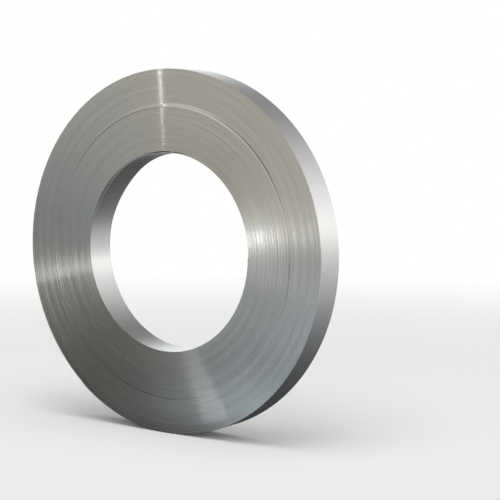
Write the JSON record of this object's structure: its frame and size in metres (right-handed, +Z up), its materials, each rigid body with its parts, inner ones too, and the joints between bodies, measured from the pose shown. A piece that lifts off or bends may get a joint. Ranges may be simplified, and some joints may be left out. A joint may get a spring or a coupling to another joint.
{
  "type": "slit steel coil",
  "caption": "Narrow slit strip of bright steel wound into a flat ring with a round eye, standing on its rim, with its laps showing on both ends.",
  "frame": {"origin": "on the floor, below the middle of the coil's box", "axes": "+Z up, +Y along the coil's axis towards its far end, so the near end faces -Y, and +X to the right as seen from the near end"},
  "size_m": [0.931, 0.0826, 0.9311],
  "materials": {
    "bright_strip": "bright rolled strip, with slit edges that reflect in fans across the wound ends"
  },
  "bodies": {
    "root": {"steel_coil": "bright_strip"}
  },
  "joints": []
}
